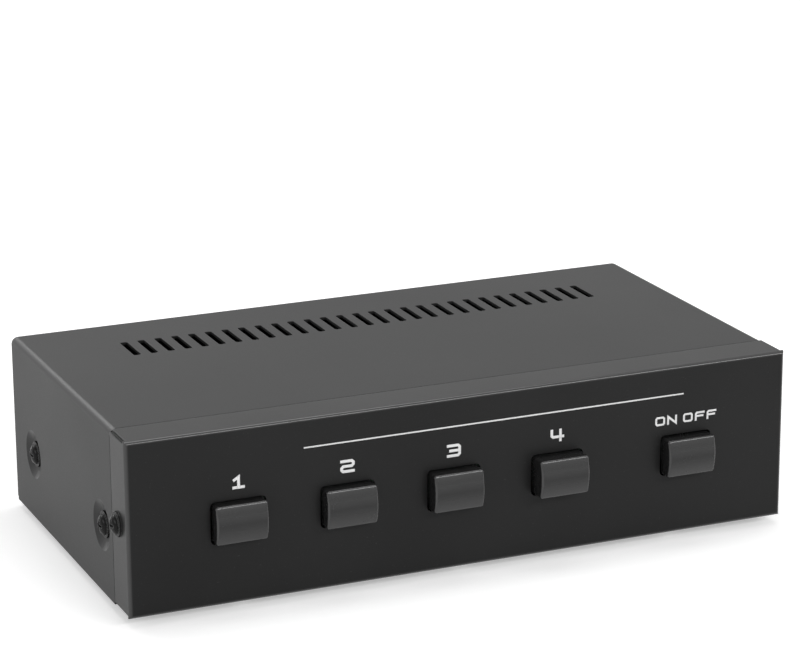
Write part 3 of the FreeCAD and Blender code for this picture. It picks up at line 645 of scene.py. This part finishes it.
def buildScrewTree(name, sizes, materialName, s):
    # a flanged pan head with a cross recess, and its shank, standing on the seat
    tree, given, made = newTree(name, sizes, materialName)
    size = given.outputs
    flange = step(tree, "GeometryNodeMeshCone", {
        "Vertices": s["around"], "Side Segments": 1, "Fill Segments": 1,
        "Radius Top": sums(tree, "MULTIPLY", size["Head Radius"], s["flangeTop"]),
        "Radius Bottom": size["Head Radius"], "Depth": size["Flange"]}).outputs["Mesh"]
    domeRadius = sums(tree, "MULTIPLY", size["Head Radius"], size["Dome Share"])
    domeTall = sums(tree, "SUBTRACT", size["Head Height"], size["Flange"])
    ball = step(tree, "GeometryNodeMeshUVSphere", {
        "Segments": s["around"], "Rings": s["rings"], "Radius": 1.0})
    dome = movedMesh(tree, ball.outputs["Mesh"], 0.0, 0.0, size["Flange"],
                     (domeRadius, domeRadius, domeTall))
    shank = step(tree, "GeometryNodeMeshCylinder", {
        "Vertices": s["shankAround"], "Radius": size["Shank Radius"], "Depth": size["Shank Length"]})
    shank = movedMesh(tree, shank.outputs["Mesh"], 0.0, 0.0,
                      sums(tree, "MULTIPLY", size["Shank Length"], s["shankDown"]))
    low = step(tree, "GeometryNodeMeshCube", {"Size": combined(
        tree, s["cutter"], s["cutter"], size["Head Height"])}).outputs["Mesh"]
    low = movedMesh(tree, low, 0.0, 0.0, sums(tree, "MULTIPLY", size["Head Height"], -0.5))
    halfDome = step(tree, "GeometryNodeMeshBoolean", operation="DIFFERENCE", solver="EXACT")
    tree.links.new(dome, halfDome.inputs["Mesh 1"])
    tree.links.new(low, halfDome.inputs["Mesh 2"])
    head = step(tree, "GeometryNodeMeshBoolean", operation="UNION", solver="EXACT")
    for piece in (flange, halfDome.outputs["Mesh"], shank):
        tree.links.new(piece, head.inputs["Mesh 2"])
    reach = sums(tree, "MULTIPLY", size["Recess Reach"], 2.0)
    deep = sums(tree, "MULTIPLY", size["Recess Depth"], 2.0)
    cross = step(tree, "GeometryNodeMeshBoolean", operation="DIFFERENCE", solver="EXACT")
    tree.links.new(head.outputs["Mesh"], cross.inputs["Mesh 1"])
    for long, wide in ((reach, size["Recess Width"]), (size["Recess Width"], reach)):
        wing = step(tree, "GeometryNodeMeshCube", {"Size": combined(tree, long, wide, deep)})
        tree.links.new(movedMesh(tree, wing.outputs["Mesh"], 0.0, 0.0, size["Head Height"]),
                       cross.inputs["Mesh 2"])
    smooth = step(tree, "GeometryNodeSetShadeSmooth", {
        "Geometry": cross.outputs["Mesh"], "Shade Smooth": True}, domain="FACE")
    angle = step(tree, "GeometryNodeInputMeshEdgeAngle")
    sharp = step(tree, "FunctionNodeCompare", {"A": angle.outputs["Unsigned Angle"], "B": s["creaseFrom"]},
                 data_type="FLOAT", operation="GREATER_THAN")
    creased = step(tree, "GeometryNodeSetShadeSmooth", {
        "Geometry": smooth.outputs["Geometry"], "Selection": sharp.outputs["Result"],
        "Shade Smooth": False}, domain="EDGE")
    settle(tree, given, made, creased.outputs["Geometry"])
    return tree


def buildPlateTree(name, sizes, materialName):
    # one thin ink plate per seat, as wide and tall as the seat's own numbers say
    tree, given, made = newTree(name, sizes, materialName)
    plate = step(tree, "GeometryNodeMeshCube", {"Size": combined(
        tree, 1.0, 1.0, given.outputs["Ink Depth"])}).outputs["Mesh"]
    share = step(tree, "GeometryNodeInputNamedAttribute", {"Name": "plateSize"}, data_type="FLOAT_VECTOR")
    settle(tree, given, made, plate, share.outputs["Attribute"])
    return tree


def grown(name, seats, tree, values):
    # seats: rows of place, facing and, for plates, size
    mesh = bpy.data.meshes.new(name)
    mesh.from_pydata([row[0] for row in seats], [], [])
    for label, column in (("facing", 1), ("plateSize", 2)):
        if len(seats[0]) > column:
            layer = mesh.attributes.new(label, "FLOAT_VECTOR", "POINT")
            for i, row in enumerate(seats):
                layer.data[i].vector = row[column]
    thing = addObject(name, mesh)
    modifier = thing.modifiers.new("made", "NODES")
    modifier.node_group = tree
    for item in tree.interface.items_tree:
        if item.item_type == "SOCKET" and item.in_out == "INPUT" and item.name in values:
            modifier[item.identifier] = values[item.name]
    return bakeToMesh(thing)


# screws, one on each CAD screw's own seat

bigHead = {"Head Height": 2.5 * mm, "Dome Share": 0.76, "Flange": 0.8 * mm,
           "Recess Reach": 2.0 * mm, "Recess Width": 0.85 * mm, "Recess Depth": 1.4 * mm}
sideHead = dict(bigHead, **{"Recess Reach": 1.9 * mm, "Recess Width": 0.8 * mm})
smallHead = {"Head Height": 1.4 * mm, "Dome Share": 0.9, "Flange": 0.4 * mm,
             "Recess Reach": 1.3 * mm, "Recess Width": 0.6 * mm, "Recess Depth": 0.8 * mm}
screwSettings = {
    # sizes in metres, finish and the record's slot; the reach runs from the cross's middle
    "cover_screws": (bigHead, "blackScrew", "black_screw"),
    "panel_side_screws": (sideHead, "blackScrew", "black_screw"),
    "panel_base_screws": (smallHead, "zincScrew", "zinc_screw"),
    "foot_screws": (smallHead, "zincScrew", "zinc_screw"),
    "board_screws": (smallHead, "zincScrew", "zinc_screw"),
}
shankRadius = 1.5 * mm
mergeDistance = 0.002 * mm


def looseBoxes(nodeName):
    # the corners of each separate solid in a node, from a merged copy of its mesh
    copy = bmesh.new()
    copy.from_mesh(nodes[nodeName].data)
    bmesh.ops.remove_doubles(copy, verts=copy.verts, dist=mergeDistance)
    boxes = []
    unseen = set(copy.verts)
    while unseen:
        island = [unseen.pop()]
        for vert in island:
            for edge in vert.link_edges:
                other = edge.other_vert(vert)
                if other in unseen:
                    unseen.remove(other)
                    island.append(other)
        boxes.append((Vector(min(v.co[i] for v in island) for i in range(3)),
                      Vector(max(v.co[i] for v in island) for i in range(3))))
    copy.free()
    return sorted(boxes, key=lambda pair: tuple(pair[0]))


def screwSeats(nodeName, tall):
    # the head is at the end that looks out of the case, or up inside it
    seats = []
    radius = 0
    length = 0
    for low, high in looseBoxes(nodeName):
        middle = (low + high) / 2
        if nodeName in ("cover_screws", "panel_side_screws"):
            facing = Vector((math.copysign(1, middle.x), 0, 0))
        elif nodeName == "board_screws":
            facing = Vector((0, 0, 1))
        else:
            facing = Vector((0, 0, -1))
        half = (high - low) / 2
        along = abs(half.dot(facing))
        seats.append((middle + facing * (along - tall), facing))
        radius = max(half.y, radius)
        length = 2 * along - tall
    return seats, radius, length


def makeScrews(nodeName, head, finish):
    seats, radius, length = screwSeats(nodeName, head["Head Height"])
    values = dict(head, **{"Head Radius": radius, "Shank Radius": shankRadius,
                           "Shank Length": length, "Finish": finishes[finish]})
    screws = grown("fine_" + nodeName, seats, screwTree, values)
    place(screws, "case")
    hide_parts(nodeName)


screwTree = buildScrewTree("flangedScrew", {
    **bigHead, "Head Radius": 4.5 * mm, "Shank Radius": shankRadius,
    "Shank Length": 7.0 * mm}, "blackScrew", screwShape)
for nodeName, (head, finish, slotName) in screwSettings.items():
    makeScrews(nodeName, head, finish)
print("stage: screws")


# printed marks, thin ink on the sheet metal

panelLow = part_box("front_panel")[0]
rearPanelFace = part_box("chassis")[1].y
ahead = Vector((0, -1, 0))
behind = Vector((0, 1, 0))
inkDepth = 0.06 * mm
cornerCut = 0.12    # of a sign's height
longestCut = 0.45   # of a stroke's own run
sharpestMitre = 0.3
strokeStep = 0.1    # of the ink's depth, so that no two strokes share a plane

# strokes of each sign on a square of side 1
signStrokes = {
    "1": [[(0.2, 0.75), (0.55, 1.0), (0.55, 0.0)], [(0.15, 0.0), (0.95, 0.0)]],
    "2": [[(0.0, 1.0), (1.0, 1.0), (1.0, 0.5), (0.0, 0.5), (0.0, 0.0), (1.0, 0.0)]],
    "3": [[(0.0, 1.0), (1.0, 1.0), (1.0, 0.0), (0.0, 0.0)], [(0.2, 0.5), (1.0, 0.5)]],
    "4": [[(0.0, 1.0), (0.0, 0.36), (1.0, 0.36)], [(0.78, 1.0), (0.78, 0.0)]],
    "O": [[(0.0, 0.5), (0.0, 1.0), (1.0, 1.0), (1.0, 0.0), (0.0, 0.0), (0.0, 0.5)]],
    "N": [[(0.0, 0.0), (0.0, 1.0), (1.0, 0.0), (1.0, 1.0)]],
    "F": [[(1.0, 1.0), (0.0, 1.0), (0.0, 0.0)], [(0.0, 0.52), (0.85, 0.52)]],
    "I": [[(0.5, 1.0), (0.5, 0.0)]],
}


def softened(points, cut):
    # each sharp corner of a stroke becomes a short slant
    path = [points[0]]
    for before, here, after in zip(points, points[1:], points[2:]):
        for other in (before, after):
            away = other - here
            path.append(here + away.normalized() * min(cut, away.length * longestCut))
    return path + [points[-1]]


def strokeMesh(shape, points, thick, depth, lift):
    # a flat band of even width along the points, its sides mitred at the corners
    sides = ([], [])
    for i, here in enumerate(points):
        ways = []
        if i > 0:
            ways.append((here - points[i - 1]).normalized())
        if i < len(points) - 1:
            ways.append((points[i + 1] - here).normalized())
        normals = [Vector((-way.y, way.x)) for way in ways]
        across = sum(normals, Vector((0, 0))).normalized()
        reach = thick / 2 / max(across.dot(normals[0]), sharpestMitre)
        ends = Vector((0, 0))
        if len(ways) == 1 and points[0] != points[-1]:
            ends = ways[0] * (thick / 2) * (-1 if i == 0 else 1)
        for side, sign in zip(sides, (1, -1)):
            side.append(here + ends + across * (reach * sign))
    rings = []
    for left, right in zip(*sides):
        rings.append([shape.verts.new((p.x, p.y, z)) for p, z in (
            (left, lift), (right, lift), (right, lift + depth), (left, lift + depth))])
    for first, second in zip(rings, rings[1:]):
        for i in range(4):
            shape.faces.new((first[i], first[(i + 1) % 4], second[(i + 1) % 4], second[i]))
    shape.faces.new(rings[0][::-1])
    shape.faces.new(rings[-1])


def strokeWord(name, word, tall, wide, thick, gap, finish):
    # drawn flat about its own middle, one sign after another
    shape = bmesh.new()
    steps = [0.0 if sign == " " else wide for sign in word]
    total = sum(steps) + gap * (len(word) - 1)
    x = -total / 2
    count = 0
    for sign, width in zip(word, steps):
        for stroke in signStrokes.get(sign, []):
            points = [Vector((x + thick / 2 + px * (width - thick),
                              -tall / 2 + thick / 2 + py * (tall - thick))) for px, py in stroke]
            count += 1
            if sign not in "1N":
                points = softened(points, tall * cornerCut)
            strokeMesh(shape, points, thick, inkDepth, count % 3 * strokeStep * inkDepth)
        x += width + gap
    bmesh.ops.recalc_face_normals(shape, faces=shape.faces)
    mesh = bpy.data.meshes.new(name)
    shape.to_mesh(mesh)
    shape.free()
    mesh.materials.append(finish)
    return addObject(name, mesh)


def onto(thing, x, z, face, facing):
    # turns a flat drawing up and lays it on a wall that looks ahead or behind
    turn = Matrix.Rotation(math.radians(90), 4, "X")
    if facing.y > 0:
        turn = Matrix.Rotation(math.radians(180), 4, "Z") @ turn
    thing.data.transform(Matrix.Translation((x, face, z)) @ turn)
    return thing


plateTree = buildPlateTree("inkPlates", {"Ink Depth": inkDepth}, "printInk")


def inkPlates(name, rows, face, facing, finish, lift=0.0):
    # rows of x, z, wide, tall in the frame; the plates lie on a wall
    out = facing * lift
    seats = [((x, face + out.y, z), facing, (wide, tall, 1.0)) for x, z, wide, tall in rows]
    return grown(name, seats, plateTree, {"Ink Depth": inkDepth, "Finish": finishes[finish]})


frontMarkSettings = {
    "overButtons": 12.4 * mm,
    "tall": 4.3 * mm,
    "wide": 4.9 * mm,
    "thick": 0.95 * mm,
    "word": "ON  OFF",
    "wordTall": 3.1 * mm,
    "wordWide": 3.6 * mm,
    "wordThick": 0.7 * mm,
    "wordGap": 0.75 * mm,
    "wordDrop": 0.4 * mm,
    "ruleTall": 0.5 * mm,
    "ruleFrom": 57.9 * mm,
    "ruleTo": 190.6 * mm,
    "ruleUp": 47.6 * mm,
}


def makeFrontMarks(s):
    ink = finishes["printInk"]
    frontFace = panelLow.y
    marks = []
    for i in range(1, 6):
        low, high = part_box("button_cap_%d" % i)
        x = (low.x + high.x) / 2
        z = (low.z + high.z) / 2 + s["overButtons"]
        if i < 5:
            sign = strokeWord("numeral%d" % i, str(i), s["tall"], s["wide"], s["thick"], 0, ink)
        else:
            sign = strokeWord("switchWord", s["word"], s["wordTall"], s["wordWide"],
                              s["wordThick"], s["wordGap"], ink)
            z -= s["wordDrop"]
        marks.append(onto(sign, x, z, frontFace, ahead))
    rule = [(panelLow.x + (s["ruleFrom"] + s["ruleTo"]) / 2, panelLow.z + s["ruleUp"],
             s["ruleTo"] - s["ruleFrom"], s["ruleTall"])]
    marks.append(inkPlates("topRule", rule, frontFace, ahead, "printInk"))
    return place(joinMeshes("front_marks", marks), "case")


rearMarkSettings = {
    # across from the left edge seen from behind, up from the bottom of the case
    "polarity": ((53.8 * mm, 39.4 * mm, 21.9 * mm), (130.7 * mm, 39.4 * mm, 21.7 * mm),
                 (212.4 * mm, 39.7 * mm, 22.0 * mm)),
    "polaritySquare": 5.0 * mm,
    "signLong": 3.2 * mm,
    "signThick": 0.75 * mm,
    "pairs": ((24.3 * mm, 41.2 * mm), (74.4 * mm, 89.3 * mm), (102.4 * mm, 117.0 * mm),
              (154.5 * mm, 168.8 * mm), (182.4 * mm, 196.7 * mm)),
    "pairUp": 8.1 * mm,
    "pairSquare": 3.4 * mm,
    "pairSignTall": 0.64,      # of the square
    "pairSignWide": 0.5,
    "pairSignThick": 0.36 * mm,
    "signLift": 0.5,           # of the ink's depth
    "barLift": 0.35,
    "linkTall": 0.35 * mm,
    "boxes": ((18.6 * mm, 46.5 * mm, "IN"), (68.7 * mm, 95.4 * mm, "4"),
              (97.2 * mm, 123.7 * mm, "3"), (147.8 * mm, 173.9 * mm, "2"),
              (176.0 * mm, 202.7 * mm, "1")),
    "boxTop": 6.0 * mm,
    "boxTall": 4.4 * mm,
    "boxLine": 0.35 * mm,
    "labelTall": 2.8 * mm,
    "labelWide": 2.7 * mm,
    "labelThick": 0.68 * mm,
    "labelGap": 0.6 * mm,
}


def makeRearMarks(s):
    left = caseHigh.x
    bottom = caseLow.z
    face = rearPanelFace
    white = []
    dark = []
    signs = []
    for across, upper, lower in s["polarity"]:
        for up in (upper, lower):
            white.append((left - across, bottom + up, s["polaritySquare"], s["polaritySquare"]))
            dark.append((left - across, bottom + up, s["signLong"], s["signThick"]))
        halfSign = (s["signLong"] - s["signThick"]) / 4 + s["signThick"] / 2
        for sign in (-1, 1):
            dark.append((left - across, bottom + upper + sign * halfSign, s["signThick"],
                         (s["signLong"] - s["signThick"]) / 2))
    for first, second in s["pairs"]:
        for i, across in enumerate((first, second)):
            white.append((left - across, bottom + s["pairUp"], s["pairSquare"], s["pairSquare"]))
            sign = strokeWord("code", str(i + 1), s["pairSquare"] * s["pairSignTall"],
                              s["pairSquare"] * s["pairSignWide"], s["pairSignThick"], 0,
                              finishes["darkInk"])
            signs.append(onto(sign, left - across, bottom + s["pairUp"],
                              face + s["signLift"] * inkDepth, behind))
        white.append((left - (first + second) / 2, bottom + s["pairUp"],
                      second - first - s["pairSquare"], s["linkTall"]))
    for first, second, word in s["boxes"]:
        middle = left - (first + second) / 2
        wide = second - first
        up = bottom + s["boxTop"] - s["boxTall"] / 2
        for sign in (-1, 1):
            white.append((middle, up + sign * (s["boxTall"] - s["boxLine"]) / 2, wide, s["boxLine"]))
            white.append((middle + sign * (wide - s["boxLine"]) / 2, up, s["boxLine"],
                          s["boxTall"] - 2 * s["boxLine"]))
        label = strokeWord("label", word, s["labelTall"], s["labelWide"], s["labelThick"],
                           s["labelGap"], finishes["printInk"])
        signs.append(onto(label, middle, up, face, behind))
    marks = [inkPlates("whiteInk", white, face, behind, "printInk"),
             inkPlates("darkInk", dark, face, behind, "darkInk", s["barLift"] * inkDepth)]
    return place(joinMeshes("rear_marks", marks + signs), "case")


makeFrontMarks(frontMarkSettings)
makeRearMarks(rearMarkSettings)
print("stage: marks")
